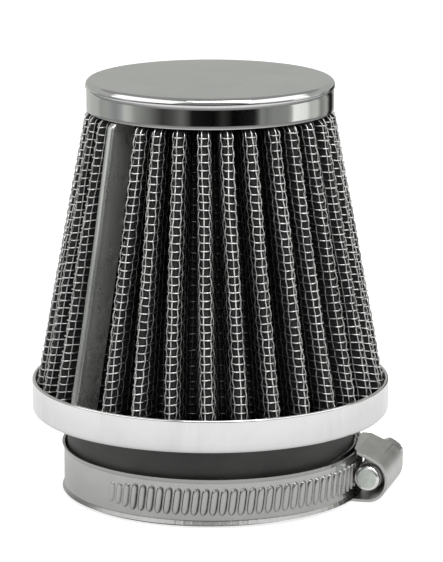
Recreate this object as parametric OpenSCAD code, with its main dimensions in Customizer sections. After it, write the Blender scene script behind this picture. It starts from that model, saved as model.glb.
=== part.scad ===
// Clamp-on cone air filter for a motorcycle carburettor, with its worm-drive
// hose clamp fitted loosely on the rubber neck.
//
// Frame: millimetres, +Z up along the filter's axis. The origin is the centre
// of the neck's bore in its open bottom face, so the filter stands on Z = 0.
// -Y is the front and +X the right-hand side, where the clamp's screw sits.
// Azimuths are measured from the front, positive towards the right.
//
// The pleat pack is three nested layers: a woven wire screen outside, the
// filter medium, and a finer wire screen inside. Its two ends meet inside a
// folded metal channel, the seam clip. Both pack ends are set in potting, in
// the chromed base ring below and in the chromed cap above.

/* [Neck] */
// Inside diameter of the rubber neck, the carburettor mouth that it fits
neck_id = 60; // [56:0.5:61]
// Outside diameter of the rubber neck
neck_od = 68.6; // [66:0.2:68.6]
// Thickness of the neck's flange inside the base ring
neck_flange_t = 2.5; // [2:0.1:3]

/* [Base ring] */
// Outside diameter of the chromed base ring, without its rim bead
ring_d = 85.2; // [84.8:0.1:88]
// Height of the ring's underside above the neck's open end
ring_z = 19.6; // [18:0.2:20]
// Overall height of the ring
ring_h = 7.95; // [7.5:0.05:9]
// Sheet thickness of the ring and the cap
chrome_t = 0.8; // [0.7:0.1:0.9]

/* [Cap] */
// Outside diameter of the cap's skirt
cap_d = 58.2; // [57.8:0.2:60]
// Height of the cap's lower edge
cap_z = 92.2; // [90:0.2:96]
// Height of the cap
cap_h = 7.1; // [6.5:0.1:9]
// Radius of the cap's rolled top edge
cap_edge_r = 1.3; // [1:0.1:1.6]

/* [Pleats] */
// Number of free pleats, without the one inside the seam clip
pleat_n = 31; // [29:1:32]
// Depth of the pleats
pleat_depth = 7.6; // [7:0.1:7.6]
// Radius of the pleat crests where they leave the base ring
crest_base_r = 41.6; // [40.6:0.1:41.6]
// Radius of the pleat crests just below the cap
crest_top_r = 29.75; // [29.5:0.05:30.5]
// Half width of a pleat crest
crest_half_w = 1.68; // [1.66:0.01:1.75]

/* [Seam clip] */
// Azimuth of the seam clip
clip_az = -50.6; // [-60:0.2:-40]
// Width of the folded channel
clip_w = 2.1; // [2.1:0.05:2.3]
// Depth of the folded channel
clip_depth = 7; // [6.6:0.1:7]

/* [Hose clamp] */
// Width of the clamp band
band_w = 11.0; // [10.8:0.1:11]
// Sheet thickness of the clamp band
band_t = 0.6; // [0.5:0.05:0.6]
// How far the band's edges flare outwards
band_flare = 0.5; // [0.3:0.05:0.5]
// Length of the pressed ribs that the worm drives
rib_l = 6.2; // [5:0.1:6.2]
// Height of the pressed ribs
rib_h = 0.45; // [0.35:0.05:0.45]
// Sheet thickness of the screw housing
housing_t = 0.65; // [0.55:0.05:0.65]

/* [Worm screw] */
// Outside diameter of the worm thread
worm_d = 6.6; // [6.5:0.05:6.6]
// Core diameter of the worm
worm_core_d = 5; // [4.6:0.1:5]
// Pitch of the worm thread and of the band's ribs
worm_pitch = 2.22; // [2.2:0.01:2.25]
// Width across the flats of the hexagon head
hex_af = 7; // [6:0.5:8]

/* [Hidden] */
$fn = 96;

neck_r = neck_od / 2;
bore_r = neck_id / 2;
ring_r = ring_d / 2;
ring_top = ring_z + ring_h;
flange_z = ring_z + chrome_t;                  // underside of the neck's flange
potting_z = flange_z + neck_flange_t;          // top of the flange
pack_z = potting_z + 2.1;                      // where the pleat pack starts
cap_r = cap_d / 2;
cap_top = cap_z + cap_h;
knee_z = cap_z - 1.25;                         // crests turn in under the cap

// Crest radius on the cone at height z, and where the pack enters the cap
flare_z = ring_top - 0.55;                     // upright below, inside the ring
function cone_r(z) = crest_base_r + (crest_top_r - crest_base_r)
                     * (z - flare_z) / (knee_z - flare_z);
tuck_r = cap_r - chrome_t - 0.1;
LEVELS = [[pack_z, crest_base_r], [flare_z, crest_base_r],
          [knee_z, crest_top_r], [cap_z, tuck_r]];

// Angles of the pleats: a wide gap to the right of the clip, a normal one left
gap_r = 15.3;
gap_l = 9.8;
pitch_a = (360 - gap_r - gap_l) / (pleat_n - 1);
function pleat_az(i) = clip_az + gap_r + i * pitch_a;

// Unit vectors outwards and to the right at azimuth a
function e_out(a) = [sin(a), -cos(a)];
function e_tan(a) = [cos(a), sin(a)];
function place(a, x, y) = y * e_out(a) + x * e_tan(a);

// Half width of a pleat's foot, so that neighbours stay 0.7 mm apart
function foot_w(rv) = rv * tan(pitch_a / 2) - 0.35;

// Outline of one pleat, d below the pack's outer surface
function pleat_pts(a, rc, d) =
    let (rv = rc - pleat_depth, w = crest_half_w - d, f = foot_w(rv) - d)
    [place(a, -f, rv - d), place(a, -w, rc - d - 0.75), place(a, -w * 0.55, rc - d),
     place(a, w * 0.55, rc - d), place(a, w, rc - d - 0.75), place(a, f, rv - d)];

// Outline of the pack's two ends where the seam clip pinches them
function seam_pts(a, rc, d) =
    let (x = (clip_w / 2 - 0.43) * (1 - d / 1.65), y = rc - 6.9 - 0.3 * d, f = 1.75 - d)
    [place(a, -f, rc - pleat_depth - d), place(a, -x, y), place(a, -x, rc - 0.5),
     place(a, x, rc - 0.5), place(a, x, y), place(a, f, rc - pleat_depth - d)];

// The whole closed outline at one level
function outline(rc, d) = concat(
    seam_pts(clip_az, rc, d),
    [place(clip_az + gap_r / 2, 0, rc - pleat_depth - d)],
    [for (i = [0 : pleat_n - 1]) each concat(
        pleat_pts(pleat_az(i), rc, d),
        [place(pleat_az(i) + (i == pleat_n - 1 ? gap_l : pitch_a) / 2, 0,
               rc - pleat_depth - d)])]);

// One layer of the pack, between depths d0 and d1 below its outer surface
module pleated_layer(d0, d1) {
    n = len(outline(40, 0));
    nl = len(LEVELS);
    pts = [for (l = [0 : nl - 1]) each concat(
        [for (p = outline(LEVELS[l][1], d0)) [p[0], p[1], LEVELS[l][0]]],
        [for (p = outline(LEVELS[l][1], d1)) [p[0], p[1], LEVELS[l][0]]])];
    function o(l, i) = l * 2 * n + (i % n);
    function m(l, i) = l * 2 * n + n + (i % n);
    faces = concat(
        [for (l = [0 : nl - 2]) for (i = [0 : n - 1]) each
            [[o(l, i), o(l + 1, i), o(l + 1, i + 1)], [o(l, i), o(l + 1, i + 1), o(l, i + 1)]]],
        [for (l = [0 : nl - 2]) for (i = [0 : n - 1]) each
            [[m(l, i), m(l + 1, i + 1), m(l + 1, i)], [m(l, i), m(l, i + 1), m(l + 1, i + 1)]]],
        [for (i = [0 : n - 1]) each
            [[o(0, i), o(0, i + 1), m(0, i + 1)], [o(0, i), m(0, i + 1), m(0, i)]]],
        [for (i = [0 : n - 1]) each
            [[o(nl - 1, i), m(nl - 1, i + 1), o(nl - 1, i + 1)],
             [o(nl - 1, i), m(nl - 1, i), m(nl - 1, i + 1)]]]);
    polyhedron(points = pts, faces = faces);
}

// Woven steel wire screen on the outside of the pleats
module outer_mesh() { color("silver") pleated_layer(0, 0.6); }

// Dark filter medium between the two screens
module filter_media() { color([0.12, 0.12, 0.12]) pleated_layer(0.65, 1.15); }

// Backing screen on the inside of the pleats
module inner_mesh() { color("gray") pleated_layer(1.2, 1.6); }

// Folded channel that clamps the two ends of the pleat pack
clip_tilt = atan((crest_base_r - crest_top_r) / (knee_z - flare_z));
module seam_clip() {
    sheet = 0.4;
    r_o = clip_w / 2;
    r_i = r_o - sheet;
    y_top = 0.3;                       // stands just proud of the crests
    color("lightgray")
    intersection() {
        translate([0, 0, pack_z + 0.02])
            cylinder(r = crest_base_r + 0.1, h = cap_z - pack_z - 0.07);
        rotate([0, 0, clip_az - 90])
        translate([cone_r(60), 0, 60])
        rotate([0, -clip_tilt, 0])
        difference() {
            translate([0, 0, -45]) linear_extrude(height = 90)
            difference() {
                union() {
                    translate([y_top - r_o, 0]) circle(r = r_o, $fn = 32);
                    translate([y_top - clip_depth, -r_o]) square([clip_depth - r_o, clip_w]);
                }
                translate([y_top - r_o, 0]) circle(r = r_i, $fn = 32);
                translate([y_top - clip_depth - 1, -r_i])
                    square([clip_depth + 1 - r_o, 2 * r_i]);
            }
            // crimp marks near the channel's inner edges
            for (k = [-3 : 3]) for (s = [-1, 1])
                translate([y_top - clip_depth + 1.1, s * (r_o + 0.85), k * 9.4])
                    sphere(r = 1, $fn = 24);
        }
    }
}

// Deep-drawn chromed cap: skirt, rolled edge and flat top
module top_cap() {
    rim_r = cap_r + 0.25;
    e = cap_edge_r;
    color("gainsboro")
    rotate_extrude() difference() {
        union() {
            translate([0, cap_z]) square([cap_r, cap_h - e]);
            translate([0, cap_top - e]) square([rim_r - e, e]);
            translate([rim_r - e, cap_top - e]) intersection() {
                circle(r = e, $fn = 48);
                translate([-e, -0.6]) square([2 * e, e + 0.6]);
            }
        }
        translate([-1, cap_z - 1]) square([cap_r - chrome_t + 1, cap_h + 1 - chrome_t]);
    }
}

// Adhesive that fills the cap and seals the tops of the pleats
module cap_potting() {
    color([0.15, 0.15, 0.15])
    translate([0, 0, cap_z]) cylinder(r = cap_r - chrome_t, h = cap_h - chrome_t);
}

// Chromed cup that carries the pleat pack, open below for the neck
module base_ring() {
    e = 1.1;
    color("whitesmoke")
    rotate_extrude() union() {
        difference() {
            union() {
                translate([neck_r + 0.3, ring_z]) square([ring_r - e - neck_r - 0.3, ring_h]);
                translate([ring_r - e, ring_z + e]) square([e, ring_h - e]);
                translate([ring_r - e, ring_z + e]) circle(r = e, $fn = 48);
            }
            translate([neck_r - 1, ring_z + chrome_t])
                square([ring_r - chrome_t - neck_r + 1, ring_h]);
        }
        translate([ring_r - 0.15, ring_top - 0.42]) circle(r = 0.42, $fn = 32);
    }
}

// Adhesive ring that seals the bottoms of the pleats into the base ring
module base_potting() {
    color([0.15, 0.15, 0.15])
    translate([0, 0, potting_z]) difference() {
        cylinder(r = ring_r - chrome_t, h = pack_z - potting_z);
        translate([0, 0, -1]) cylinder(r = bore_r + 0.8, h = 5);
    }
}

// Moulded rubber neck with its flange inside the base ring
module rubber_neck() {
    e = 0.6;
    color([0.13, 0.13, 0.13])
    rotate_extrude() difference() {
        union() {
            translate([bore_r, e]) square([neck_r - bore_r, potting_z - e]);
            translate([bore_r, 0]) square([neck_r - bore_r - e, e]);
            translate([neck_r - e, e]) circle(r = e, $fn = 32);
            translate([bore_r, flange_z]) square([ring_r - chrome_t - bore_r, neck_flange_t]);
        }
    }
}

// ---- hose clamp ----
clamp_az = 74.7;                      // azimuth of the point under the worm
band_z = 0.75;                        // lower edge of the band
band_mid = band_z + band_w / 2;
anchor_r = 34.5;                      // inner radius of the anchored end
strip_r = 35.05;                      // inner radius of the driven strip
strip_off = 0.55;                     // the strip's centre sits this far out
strip_az = 85;                        // towards this azimuth
worm_r = 39.65;                       // worm axis to filter axis
worm_z = 5.9;
mesh_r = 36.5;                        // radius at which thread and ribs engage
rib_a = worm_pitch / mesh_r * 180 / PI;
rib_first = -33;                      // rib numbers, counted from under the worm
rib_last = 9;
lead_a = atan(worm_pitch / (PI * 5.4));

// Section of the band: flat web with flared edges, inner face at radius r
module band_section(r, z0, z1) {
    f = band_flare;
    t = band_t;
    polygon([[r + f, z0], [r + f + t, z0], [r + t, z0 + 1], [r + t, z1 - 1],
             [r + f + t, z1], [r + f, z1], [r, z1 - 1], [r, z0 + 1]]);
}

// A stretch of band between two azimuths
module band_arc(r, a0, a1) {
    rotate([0, 0, a0 - 90]) rotate_extrude(angle = a1 - a0, $fn = 180)
        band_section(r, band_z, band_z + band_w);
}

// Radius of the strip's outer face at azimuth a
function strip_out(a) = strip_off * cos(a - strip_az)
    + sqrt(pow(strip_r + band_t, 2) - pow(strip_off * sin(a - strip_az), 2));

// End of the band that is fixed to the housing: a tongue under the worm, then
// plain band leading round towards the back
module clamp_band_anchor() {
    color([0.75, 0.75, 0.75]) union() {
        band_arc(anchor_r, 90, 150);
        rotate([0, 0, 52 - 90]) rotate_extrude(angle = 38.5, $fn = 180)
            translate([anchor_r, 0.5]) square([band_t, 11.75]);
    }
}

// The rest of the band: it runs round the front, through the housing and out
// at the screw's head side. The worm drives its pressed ribs.
module clamp_band_strip() {
    c = strip_off * e_out(strip_az);
    color([0.78, 0.78, 0.78]) union() {
        difference() {
            translate([c[0], c[1], 0]) band_arc(strip_r, 137, 360 + 112);
        }
        difference() {
            for (k = [rib_first : rib_last]) {
                a = clamp_az + k * rib_a;
                w = k < rib_first + 3 ? 0.55 + 0.15 * (k - rib_first) : 1;
                rotate([0, 0, a - 90])
                translate([strip_out(a) + rib_h - 0.75, 0, band_mid])
                rotate([-lead_a, 0, 0])
                    cylinder(r = 0.75, h = rib_l * w, center = true, $fn = 24);
            }
            translate([c[0], c[1], -1]) cylinder(r = strip_r + 0.2, h = 20, $fn = 180);
        }
    }
}

// Local frame of the worm: X outwards, Y along the screw towards its head
module at_worm() { rotate([0, 0, clamp_az - 90]) children(); }

house_c = [39.6, 5.52];               // centre of its rounded side
house_a = [5.05, 5.46];               // half axes of its rounded side
house_y0 = -4.4;
house_y1 = 12.4;

// Outline of the housing, t inside its outer face: lower flank, rounded side,
// upper flank rising over the band's edge
module house_outline(t) {
    a = house_a - [t, t];
    polygon(concat(
        [[34.7, house_c[1] - a[1]]],
        [for (i = [0 : 30]) house_c + [a[0] * cos(-90 + i * 5.6), a[1] * sin(-90 + i * 5.6)]],
        [[36.9, 12.46 - t], [34.7, 12.52 - t]]));
}

// Pressed housing that wraps round the worm and grips the anchored tongue
module clamp_housing() {
    color([0.6, 0.6, 0.58])
    at_worm() difference() {
        union() {
            difference() {
                rotate([90, 0, 0]) translate([0, 0, -house_y1])
                    linear_extrude(height = house_y1 - house_y0) house_outline(0);
                rotate([90, 0, 0]) translate([0, 0, -house_y1 - 1])
                    linear_extrude(height = house_y1 - house_y0 + 2) house_outline(housing_t);
                // open towards the filter, level with the band's edges
                translate([30, -20, 0.75]) cube([5.4, 40, 11.05]);
                // the upper flank's near corner is cut back
                translate([0, 0, 11]) linear_extrude(height = 3)
                    polygon([[33, -6], [37.1, -6], [37.1, -4.3], [36.1, -2.2],
                             [35.7, 1.2], [35, 6.4], [33, 6.4]]);
            }
            // end wall that carries the screw's journal
            rotate([90, 0, 0]) translate([0, 0, -house_y1]) linear_extrude(height = 1)
                intersection() {
                    house_outline(0.2);
                    translate([36.6, 0]) square([12, 20]);
                }
        }
        // journal hole
        rotate([90, 0, 0]) translate([worm_r, worm_z, -house_y1 - 1])
            cylinder(r = 2.3, h = 4);
        // the inner edges follow the band round the neck
        translate([0, 0, -1]) cylinder(r = 34.95, h = 20, $fn = 180);
    }
}

// Worm thread: one closed ridge wound round the core
module worm_thread(y0, turns) {
    seg = 20;
    n = turns * seg;
    rr = worm_d / 2;
    rc = worm_core_d / 2 - 0.1;
    prof = [[rc, -0.48], [rr, -0.2], [rr, 0.2], [rc, 0.48]];
    pts = [for (i = [0 : n]) let (t = 360 * i / seg, k = min(1, 0.2 + min(i, n - i) / 8))
        for (p = prof) let (r = rc + (p[0] - rc) * k + 0.02)
            [-r * cos(t), y0 + worm_pitch * i / seg + p[1], r * sin(t)]];
    faces = concat(
        [[0, 1, 2], [0, 2, 3]],
        [[4 * n + 2, 4 * n + 1, 4 * n], [4 * n + 3, 4 * n + 2, 4 * n]],
        [for (i = [0 : n - 1]) for (j = [0 : 3]) let (j2 = (j + 1) % 4) each
            [[4 * i + j, 4 * (i + 1) + j, 4 * (i + 1) + j2],
             [4 * i + j, 4 * (i + 1) + j2, 4 * i + j2]]]);
    polyhedron(points = pts, faces = [for (f = faces) [f[2], f[1], f[0]]]);
}

// Worm screw: chamfered tip, thread, journal, collar and slotted hexagon head
module worm_screw() {
    color([0.8, 0.82, 0.8])
    at_worm() translate([worm_r, 0, worm_z]) {
        union() {
            rotate([90, 0, 0]) rotate_extrude($fn = 64) polygon([
                [0, -20.3], [3.3, -20.3], [3.9, -19.6], [0, -19.6]]);
            difference() {
                rotate([90, 0, 0]) rotate([0, 0, 35]) translate([0, 0, -19.8])
                    cylinder(r = hex_af / 2 / cos(30), h = 5.2, $fn = 6);
                translate([-6, 18.6, -0.6]) cube([12, 4, 1.2]);
                rotate([-90, 0, 0]) difference() {
                    translate([0, 0, 18.8]) cylinder(r = 6, h = 2);
                    translate([0, 0, 18.7]) cylinder(r1 = 4.1, r2 = 3.0, h = 1.2, $fn = 64);
                }
            }
            rotate([-90, 0, 0]) {
                translate([0, 0, 12.6]) cylinder(r = 4.6, h = 2.2);
                translate([0, 0, 11]) cylinder(r = 2.25, h = 2);
                translate([0, 0, -4]) cylinder(r = worm_core_d / 2, h = 15.2);
                translate([0, 0, -4.8]) cylinder(r1 = 2.45, r2 = 3, h = 0.6);
                translate([0, 0, -4.2]) cylinder(r = 3, h = 0.5);
            }
            worm_thread(-1.5 * worm_pitch, 6);
        }
    }
}

top_cap();
cap_potting();
outer_mesh();
filter_media();
inner_mesh();
seam_clip();
base_ring();
base_potting();
rubber_neck();
clamp_band_anchor();
clamp_band_strip();
clamp_housing();
worm_screw();
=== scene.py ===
import math

import bpy
import numpy as np
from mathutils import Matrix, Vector


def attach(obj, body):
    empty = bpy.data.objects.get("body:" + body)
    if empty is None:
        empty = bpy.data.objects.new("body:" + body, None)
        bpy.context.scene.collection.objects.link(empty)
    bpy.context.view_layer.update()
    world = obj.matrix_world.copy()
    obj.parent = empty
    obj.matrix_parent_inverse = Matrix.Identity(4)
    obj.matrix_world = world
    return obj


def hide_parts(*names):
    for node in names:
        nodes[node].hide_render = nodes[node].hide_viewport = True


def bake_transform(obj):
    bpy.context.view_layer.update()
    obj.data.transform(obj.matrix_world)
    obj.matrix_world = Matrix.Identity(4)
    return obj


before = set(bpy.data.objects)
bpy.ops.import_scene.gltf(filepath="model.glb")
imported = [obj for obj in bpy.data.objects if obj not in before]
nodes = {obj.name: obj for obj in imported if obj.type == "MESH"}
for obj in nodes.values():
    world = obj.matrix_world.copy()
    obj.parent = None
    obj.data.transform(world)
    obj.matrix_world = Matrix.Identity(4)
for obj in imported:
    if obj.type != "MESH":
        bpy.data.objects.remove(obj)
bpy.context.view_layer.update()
scene = bpy.context.scene
MM = 0.001
rng = np.random.default_rng(7)

# ------------------------------------------------------------------ sizes, mm, as in the CAD
RING_R, RING_Z0, RING_TOP = 42.6, 19.6, 27.55
NECK_BORE, NECK_R, FLANGE_Z0, FLANGE_Z1, FLANGE_R = 30.0, 34.3, 20.4, 22.9, 41.8
PACK_Z0, KNEE_Z, CAP_Z = 25.0, 90.95, 92.2
CAP_R, CAP_RIM_R, CAP_TOP = 29.1, 29.35, 99.3
PLEAT_DEPTH, CREST_HW = 7.6, 1.68
SEAM_AZ = -50.6
PITCH_A = (360 - 15.3 - 9.8) / 30
N_PLEATS = 31
CLAMP_AZ, WORM_R, WORM_Z = 74.7, 39.65, 5.9
BAND_Z0, BAND_Z1, BAND_T, FLARE, FLARE_H = 0.75, 11.75, 0.6, 0.5, 1.0


CREST_BASE, CREST_TOP, FLARE_Z = 41.6, 29.75, 27.0
SLOPE = (CREST_BASE - CREST_TOP) / (KNEE_Z - FLARE_Z)
SLANT = math.cos(math.atan(SLOPE))


def cone_r(z):
    return CREST_BASE - SLOPE * (z - FLARE_Z)


def crest_r(z):
    z = np.asarray(z, float)
    low = np.minimum(cone_r(z), CREST_BASE)
    high = 29.75 + (28.2 - 29.75) * (z - KNEE_Z) / (CAP_Z - KNEE_Z)
    return np.where(z <= KNEE_Z, low, high)


def e_out(a):
    a = np.radians(a)
    return np.stack([np.sin(a), -np.cos(a)], -1)


def e_tan(a):
    a = np.radians(a)
    return np.stack([np.cos(a), np.sin(a)], -1)


# ------------------------------------------------------------------ mesh helpers
def make_mesh(name, V, Q=None, T=None, mat=None, smooth=True, sharp=None):
    """A mesh object from vertices in mm, quads and triangles."""
    V = np.asarray(V, float).reshape(-1, 3) * MM
    Q = np.zeros((0, 4), int) if Q is None else np.asarray(Q, int).reshape(-1, 4)
    T = np.zeros((0, 3), int) if T is None else np.asarray(T, int).reshape(-1, 3)
    me = bpy.data.meshes.new(name)
    me.vertices.add(len(V))
    me.vertices.foreach_set("co", V.astype(np.float32).ravel())
    loops = np.concatenate([Q.ravel(), T.ravel()]).astype(np.int32)
    me.loops.add(len(loops))
    me.loops.foreach_set("vertex_index", loops)
    me.polygons.add(len(Q) + len(T))
    starts = np.concatenate([np.arange(len(Q)) * 4, len(Q) * 4 + np.arange(len(T)) * 3])
    me.polygons.foreach_set("loop_start", starts.astype(np.int32))
    me.polygons.foreach_set("use_smooth", np.full(len(Q) + len(T), bool(smooth)))
    me.update(calc_edges=True)
    me.validate()
    if sharp is not None:
        me.set_sharp_from_angle(angle=math.radians(sharp))
    ob = bpy.data.objects.new(name, me)
    scene.collection.objects.link(ob)
    if mat is not None:
        me.materials.append(mat)
    return ob


def grid_faces(nu, nv, wrap_u=False, wrap_v=False, flip=False, base=0):
    """Quads of a grid whose vertex (u, v) has index u * nv + v."""
    iu = np.arange(nu if wrap_u else nu - 1)
    iv = np.arange(nv if wrap_v else nv - 1)
    U, W = np.meshgrid(iu, iv, indexing="ij")
    U2, W2 = (U + 1) % nu, (W + 1) % nv
    q = np.stack([U * nv + W, U2 * nv + W, U2 * nv + W2, U * nv + W2], -1).reshape(-1, 4)
    return base + (q[:, ::-1] if flip else q)


def lathe(name, profile, n=192, mat=None, sharp=40, wobble=None):
    """A ring or plate turned about Z from a closed outline of (r, z) points, counter-clockwise in the r-z plane. Points with r = 0 become one pole."""
    P = np.asarray(profile, float)
    a = np.linspace(0, 2 * math.pi, n, endpoint=False)
    on_axis = P[:, 0] < 1e-6
    if on_axis.any():
        k = len(P)
        V = np.zeros((n, k, 3))
        V[..., 0] = np.cos(a)[:, None] * P[None, :, 0]
        V[..., 1] = np.sin(a)[:, None] * P[None, :, 0]
        V[..., 2] = P[None, :, 1]
        if wobble is not None:
            V = wobble(V)
        Q = grid_faces(n, k, wrap_u=True)
        V = V.reshape(-1, 3)
        # collapse each pole to one vertex
        idx = np.arange(n * k).reshape(n, k)
        for c in np.nonzero(on_axis)[0]:
            idx[:, c] = idx[0, c]
        Q = idx.ravel()[Q]
        quads = [q for q in Q if len(set(q)) == 4]
        tris = []
        for q in Q:
            s = []
            for x in q:
                if x not in s:
                    s.append(x)
            if len(s) == 3:
                tris.append(s)
        used = np.unique(np.concatenate([np.array(quads).ravel(), np.array(tris).ravel()]))
        remap = -np.ones(n * k, int)
        remap[used] = np.arange(len(used))
        return make_mesh(name, V[used], remap[np.array(quads)], remap[np.array(tris)], mat, sharp=sharp)
    k = len(P)
    V = np.zeros((n, k, 3))
    V[..., 0] = np.cos(a)[:, None] * P[None, :, 0]
    V[..., 1] = np.sin(a)[:, None] * P[None, :, 0]
    V[..., 2] = P[None, :, 1]
    if wobble is not None:
        V = wobble(V)
    return make_mesh(name, V, grid_faces(n, k, wrap_u=True, wrap_v=True), mat=mat, sharp=sharp)


def arc(cx, cz, r, a0, a1, n):
    t = np.radians(np.linspace(a0, a1, n))
    return [(cx + r * math.cos(x), cz + r * math.sin(x)) for x in t]


def dense(points, step):
    """The same outline with points every step mm or less along its straight runs."""
    out = []
    for p, q in zip(points[:-1], points[1:]):
        p, q = np.array(p, float), np.array(q, float)
        n = max(1, int(math.ceil(np.linalg.norm(q - p) / step)))
        out += [tuple(p + (q - p) * i / n) for i in range(n)]
    return out + [tuple(points[-1])]


# ------------------------------------------------------------------ materials
def principled(name):
    m = bpy.data.materials.new(name)
    m.use_nodes = True
    nt = m.node_tree
    b = nt.nodes["Principled BSDF"]
    return m, nt, b


def node(nt, kind, **props):
    n = nt.nodes.new(kind)
    for k, v in props.items():
        setattr(n, k, v)
    return n


def coords(nt, scale=(1, 1, 1), rot=(0, 0, 0)):
    tc = node(nt, "ShaderNodeTexCoord")
    mp = node(nt, "ShaderNodeMapping")
    mp.inputs["Scale"].default_value = scale
    mp.inputs["Rotation"].default_value = rot
    nt.links.new(tc.outputs["Object"], mp.inputs["Vector"])
    return mp.outputs["Vector"]


def noise(nt, vec, scale, detail=3.0, rough=0.5, distort=0.0):
    n = node(nt, "ShaderNodeTexNoise")
    n.inputs["Scale"].default_value = scale
    n.inputs["Detail"].default_value = detail
    n.inputs["Roughness"].default_value = rough
    n.inputs["Distortion"].default_value = distort
    nt.links.new(vec, n.inputs["Vector"])
    return n.outputs["Fac"]


def ramp(nt, fac, stops):
    r = node(nt, "ShaderNodeValToRGB")
    e = r.color_ramp.elements
    while len(e) < len(stops):
        e.new(0.5)
    for el, (p, c) in zip(e, stops):
        el.position = p
        el.color = (*c, 1) if len(c) == 3 else c
    nt.links.new(fac, r.inputs["Fac"])
    return r.outputs["Color"]


def grey(v):
    return (v, v, v)


def maprange(nt, fac, a, b, lo, hi):
    m = node(nt, "ShaderNodeMapRange")
    m.inputs["From Min"].default_value = a
    m.inputs["From Max"].default_value = b
    m.inputs["To Min"].default_value = lo
    m.inputs["To Max"].default_value = hi
    nt.links.new(fac, m.inputs["Value"])
    return m.outputs["Result"]


def math_node(nt, op, a, b):
    m = node(nt, "ShaderNodeMath", operation=op)
    for sock, v in zip(m.inputs, (a, b)):
        if isinstance(v, (int, float)):
            sock.default_value = v
        else:
            nt.links.new(v, sock)
    return m.outputs[0]


def bump(nt, height, distance, strength=1.0, normal=None):
    b = node(nt, "ShaderNodeBump")
    b.inputs["Distance"].default_value = distance
    b.inputs["Strength"].default_value = strength
    nt.links.new(height, b.inputs["Height"])
    if normal is not None:
        nt.links.new(normal, b.inputs["Normal"])
    return b.outputs["Normal"]


def painted_fold_shading(nt, shallow, deep, low):
    """1 on the crests of the pleats, going to low from shallow to deep mm inside them: painted shade in the folds where
    low is below 1, painted light where it is above.
    """
    tc = node(nt, "ShaderNodeTexCoord")
    flat = node(nt, "ShaderNodeVectorMath", operation="MULTIPLY")
    flat.inputs[1].default_value = (1, 1, 0)
    nt.links.new(tc.outputs["Object"], flat.inputs[0])
    ln = node(nt, "ShaderNodeVectorMath", operation="LENGTH")
    nt.links.new(flat.outputs["Vector"], ln.inputs[0])
    sep = node(nt, "ShaderNodeSeparateXYZ")
    nt.links.new(tc.outputs["Object"], sep.inputs[0])
    crest = math_node(nt, "SUBTRACT", (CREST_BASE + SLOPE * FLARE_Z) * MM, math_node(nt, "MULTIPLY", sep.outputs["Z"], SLOPE))
    depth = math_node(nt, "SUBTRACT", crest, ln.outputs["Value"])
    return maprange(nt, depth, shallow * MM, deep * MM, 1.0, low)


def scaled(nt, colour, fac):
    m = node(nt, "ShaderNodeVectorMath", operation="SCALE")
    nt.links.new(colour, m.inputs[0])
    nt.links.new(fac, m.inputs["Scale"])
    return m.outputs["Vector"]


def metal(name, base, spread, rough, rough_spread, scale, grain=None, dent=0.0, folds=None, painted_band_shade=None, fine_bump=0.00002):
    """Bare or plated sheet metal: cloudy tarnish in its colour and roughness, fine grain along one direction, and
    shallow dents, with optional painted light and shade by depth inside the pleats and optional painted shade from a
    mesh attribute.
    """
    m, nt, b = principled(name)
    b.inputs["Metallic"].default_value = 1.0
    v = coords(nt)
    cloud = noise(nt, v, scale, 5.0, 0.6, 0.4)
    dark = tuple(c * (1 - spread) for c in base)
    col = ramp(nt, cloud, [(0.32, dark), (0.62, base)])
    # painted light or shade: the colour scaled by depth inside the pleats
    if folds:
        col = scaled(nt, col, painted_fold_shading(nt, *folds))
    # painted shade: a mesh attribute, broken up by fine noise, darkens the colour down to 0.05 of itself
    if painted_band_shade:
        at = node(nt, "ShaderNodeAttribute", attribute_name=painted_band_shade)
        broken = math_node(nt, "MULTIPLY", at.outputs["Fac"], maprange(nt, noise(nt, v, 900, 3.0, 0.6), 0.3, 0.6, 0.75, 1.0))
        col = scaled(nt, col, maprange(nt, broken, 0.0, 1.0, 1.0, 0.05))
    nt.links.new(col, b.inputs["Base Color"])
    fine = noise(nt, coords(nt, scale=grain or (1, 1, 1)), scale * 14, 4.0, 0.65)
    both = math_node(nt, "ADD", math_node(nt, "MULTIPLY", cloud, 0.6), math_node(nt, "MULTIPLY", fine, 0.4))
    nt.links.new(maprange(nt, both, 0.3, 0.7, rough - rough_spread, rough + rough_spread), b.inputs["Roughness"])
    n = bump(nt, fine, fine_bump, 0.35)
    if dent:
        n = bump(nt, noise(nt, v, scale * 0.6, 1.0, 0.4), dent, 0.6, n)
    nt.links.new(n, b.inputs["Normal"])
    return m


M = {}
# Chromed pressings of the cap and the ring: mirror finish with faint smears and drawing marks.
m, nt, b = principled("chrome")
b.inputs["Metallic"].default_value = 1.0
v = coords(nt)
smear = noise(nt, coords(nt, scale=(1, 1, 0.5)), 55, 5.0, 0.62, 0.8)
nt.links.new(ramp(nt, smear, [(0.30, (0.70, 0.71, 0.70)), (0.60, (0.79, 0.795, 0.79))]), b.inputs["Base Color"])
spk = noise(nt, v, 1400, 2.0, 0.6)
mix = math_node(nt, "ADD", math_node(nt, "MULTIPLY", smear, 0.8), math_node(nt, "MULTIPLY", spk, 0.2))
nt.links.new(maprange(nt, mix, 0.35, 0.68, 0.04, 0.11), b.inputs["Roughness"])
n1 = bump(nt, noise(nt, v, 30, 1.5, 0.4), 0.00010, 0.4)
nt.links.new(bump(nt, spk, 0.000004, 0.3, n1), b.inputs["Normal"])
M["chrome"] = m

# painted shade: the wires darken to 0.15 of their colour from 0.6 to 4.2 mm inside the pleats
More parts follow.
